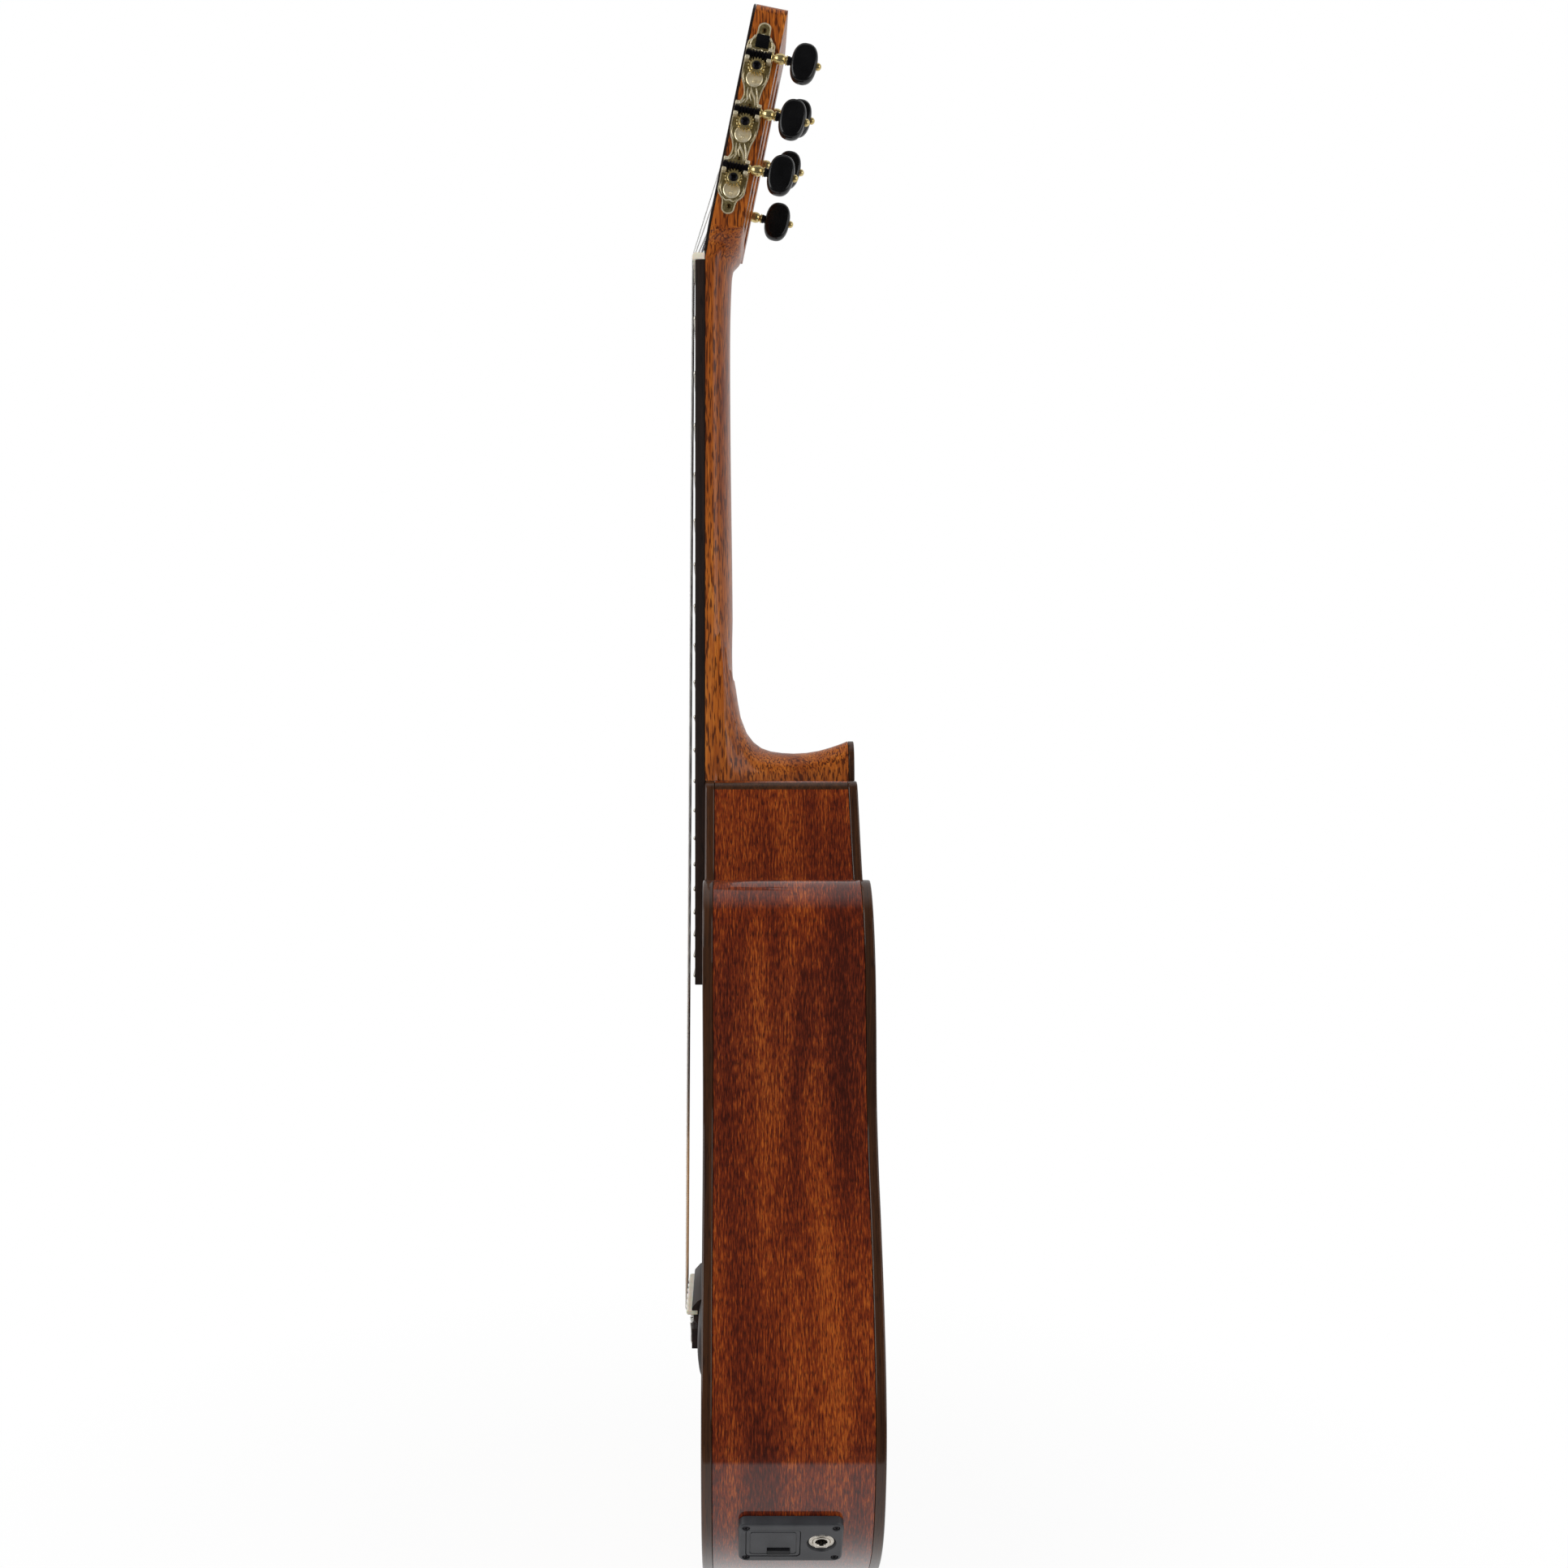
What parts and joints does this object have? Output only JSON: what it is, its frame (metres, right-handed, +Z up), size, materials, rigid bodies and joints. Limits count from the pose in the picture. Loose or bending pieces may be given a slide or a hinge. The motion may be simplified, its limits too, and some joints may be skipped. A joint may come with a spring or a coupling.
{
  "type": "acoustic-electric classical guitar",
  "caption": "Nylon-string cutaway guitar with a slotted head, worm-geared tuners, fan-braced top, and a side jack with battery drawer.",
  "frame": {"origin": "on the centre line, in the soundboard plane, where the nut meets the fingerboard", "axes": "+Z up along the neck towards the head, +X from the soundboard to the back, -Y the treble side with the cutaway"},
  "size_m": [0.1139, 0.366, 0.9607],
  "materials": {
    "spruce_top": "gloss",
    "mahogany_body": "gloss",
    "mahogany_neck": "satin",
    "rosewood_trim": "gloss",
    "dark_hardwood": "satin",
    "bone": "polished",
    "gold_metal": "polished",
    "black_plastic": "gloss",
    "grey_plastic": "satin",
    "nickel": "polished",
    "nylon": "clear",
    "wound_silver": "wound",
    "inner_cedar": "bare",
    "circuit_board": "matt",
    "battery_case": "gloss",
    "inner_spruce": "bare"
  },
  "bodies": {
    "root": {"soundboard": "spruce_top", "rosette": "rosewood_trim", "back_plate": "mahogany_body", "side_treble": "mahogany_body", "side_bass": "mahogany_body", "front_binding": "rosewood_trim", "back_binding": "rosewood_trim", "cutaway_end_strip": "rosewood_trim", "front_lining": "inner_cedar", "back_lining": "inner_cedar", "neck_block": "inner_cedar", "tail_block": "inner_cedar", "upper_harmonic_bar": "inner_spruce", "fan_bracing": "inner_spruce", "back_brace_upper": "inner_spruce", "back_brace_middle": "inner_spruce", "back_brace_lower": "inner_spruce", "neck": "mahogany_neck", "heel_cap": "rosewood_trim", "head_veneer": "rosewood_trim", "fingerboard": "dark_hardwood", "nut": "bone", "bridge": "dark_hardwood", "saddle": "bone", "undersaddle_pickup": "black_plastic", "tuner_plate_treble": "gold_metal", "tuner_plate_bass": "gold_metal", "jack_plate": "grey_plastic", "output_jack": "nickel", "jack_nut": "nickel", "preamp_board": "circuit_board", "string_1": "nylon", "string_2": "nylon", "string_3": "nylon", "string_4": "wound_silver", "string_5": "wound_silver", "string_6": "wound_silver"},
    "tuner_treble_1": {"worm_shaft_treble_1": "gold_metal", "button_treble_1": "black_plastic"},
    "roller_treble_1": {"string_roller_treble_1": "gold_metal"},
    "tuner_treble_2": {"worm_shaft_treble_2": "gold_metal", "button_treble_2": "black_plastic"},
    "roller_treble_2": {"string_roller_treble_2": "gold_metal"},
    "tuner_treble_3": {"worm_shaft_treble_3": "gold_metal", "button_treble_3": "black_plastic"},
    "roller_treble_3": {"string_roller_treble_3": "gold_metal"},
    "tuner_bass_1": {"worm_shaft_bass_1": "gold_metal", "button_bass_1": "black_plastic"},
    "roller_bass_1": {"string_roller_bass_1": "gold_metal"},
    "tuner_bass_2": {"worm_shaft_bass_2": "gold_metal", "button_bass_2": "black_plastic"},
    "roller_bass_2": {"string_roller_bass_2": "gold_metal"},
    "tuner_bass_3": {"worm_shaft_bass_3": "gold_metal", "button_bass_3": "black_plastic"},
    "roller_bass_3": {"string_roller_bass_3": "gold_metal"},
    "drawer": {"battery_drawer": "grey_plastic", "battery_9v": "battery_case"},
    "latch": {"drawer_latch": "black_plastic"}
  },
  "joints": [
    {"name": "button_turn_treble_1", "type": "hinge", "parent": "root", "child": "tuner_treble_1", "pos_m": [0.03318, -0.0396, 0.12103], "axis": [0.9792, 0, -0.2028], "continuous": true},
    {"name": "roller_turn_treble_1", "type": "hinge", "parent": "root", "child": "roller_treble_1", "pos_m": [0.03168, 0, 0.11383], "axis": [0, 1, 0], "continuous": true},
    {"name": "button_turn_treble_2", "type": "hinge", "parent": "root", "child": "tuner_treble_2", "pos_m": [0.02608, -0.0396, 0.08676], "axis": [0.9792, 0, -0.2028], "continuous": true},
    {"name": "roller_turn_treble_2", "type": "hinge", "parent": "root", "child": "roller_treble_2", "pos_m": [0.02459, 0, 0.07956], "axis": [0, 1, 0], "continuous": true},
    {"name": "button_turn_treble_3", "type": "hinge", "parent": "root", "child": "tuner_treble_3", "pos_m": [0.01898, -0.0396, 0.05249], "axis": [0.9792, 0, -0.2028], "continuous": true},
    {"name": "roller_turn_treble_3", "type": "hinge", "parent": "root", "child": "roller_treble_3", "pos_m": [0.01749, 0, 0.04529], "axis": [0, 1, 0], "continuous": true},
    {"name": "button_turn_bass_1", "type": "hinge", "parent": "root", "child": "tuner_bass_1", "pos_m": [0.03318, 0.0396, 0.12103], "axis": [0.9792, 0, -0.2028], "continuous": true},
    {"name": "roller_turn_bass_1", "type": "hinge", "parent": "root", "child": "roller_bass_1", "pos_m": [0.03168, 0, 0.11383], "axis": [0, 1, 0], "continuous": true},
    {"name": "button_turn_bass_2", "type": "hinge", "parent": "root", "child": "tuner_bass_2", "pos_m": [0.02608, 0.0396, 0.08676], "axis": [0.9792, 0, -0.2028], "continuous": true},
    {"name": "roller_turn_bass_2", "type": "hinge", "parent": "root", "child": "roller_bass_2", "pos_m": [0.02459, 0, 0.07956], "axis": [0, 1, 0], "continuous": true},
    {"name": "button_turn_bass_3", "type": "hinge", "parent": "root", "child": "tuner_bass_3", "pos_m": [0.01898, 0.0396, 0.05249], "axis": [0.9792, 0, -0.2028], "continuous": true},
    {"name": "roller_turn_bass_3", "type": "hinge", "parent": "root", "child": "roller_bass_3", "pos_m": [0.01749, 0, 0.04529], "axis": [0, 1, 0], "continuous": true},
    {"name": "drawer_slide", "type": "slide", "parent": "root", "child": "drawer", "axis": [0, -0.809, -0.5878], "range_m": [0, 0.05]},
    {"name": "latch_slide", "type": "slide", "parent": "drawer", "child": "latch", "axis": [0, -0.5878, 0.809], "range_m": [0, 0.0015], "stiffness_N_per_m": 300, "springref_m": -0.001}
  ],
  "couplings": [
    {"joint": "roller_turn_treble_1", "follows": "button_turn_treble_1", "ratio": -0.0625},
    {"joint": "roller_turn_treble_2", "follows": "button_turn_treble_2", "ratio": -0.0625},
    {"joint": "roller_turn_treble_3", "follows": "button_turn_treble_3", "ratio": -0.0625},
    {"joint": "roller_turn_bass_1", "follows": "button_turn_bass_1", "ratio": -0.0625},
    {"joint": "roller_turn_bass_2", "follows": "button_turn_bass_2", "ratio": -0.0625},
    {"joint": "roller_turn_bass_3", "follows": "button_turn_bass_3", "ratio": -0.0625}
  ]
}
